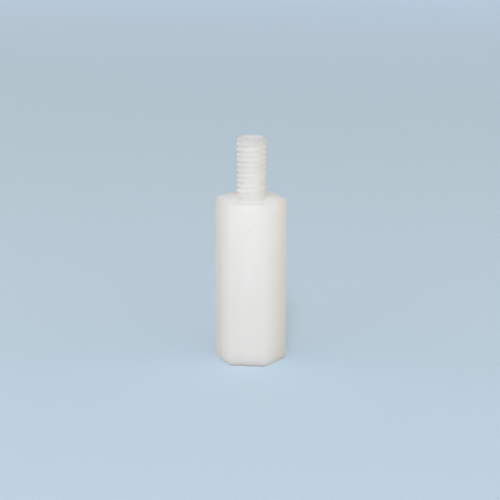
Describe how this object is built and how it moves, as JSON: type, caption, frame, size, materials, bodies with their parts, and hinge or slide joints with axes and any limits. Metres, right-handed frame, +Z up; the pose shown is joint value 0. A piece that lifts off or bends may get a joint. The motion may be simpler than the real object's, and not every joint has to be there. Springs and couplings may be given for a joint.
{
  "type": "hex standoff",
  "caption": "Hexagonal nylon standoff, moulded in one piece: a pillar with a threaded stud on its shoulder and a threaded hole in its foot.",
  "frame": {"origin": "middle of the foot, the flat face that holds the threaded hole", "axes": "+Z up along the common axis of the hole, the body and the stud; two corners of the hexagon lie on the X axis, and two of its flats face +Y and -Y"},
  "size_m": [0.0068, 0.006, 0.022],
  "materials": {
    "natural_nylon": "satin, milky and slightly translucent"
  },
  "bodies": {
    "root": {"hex_standoff": "natural_nylon"}
  },
  "joints": []
}
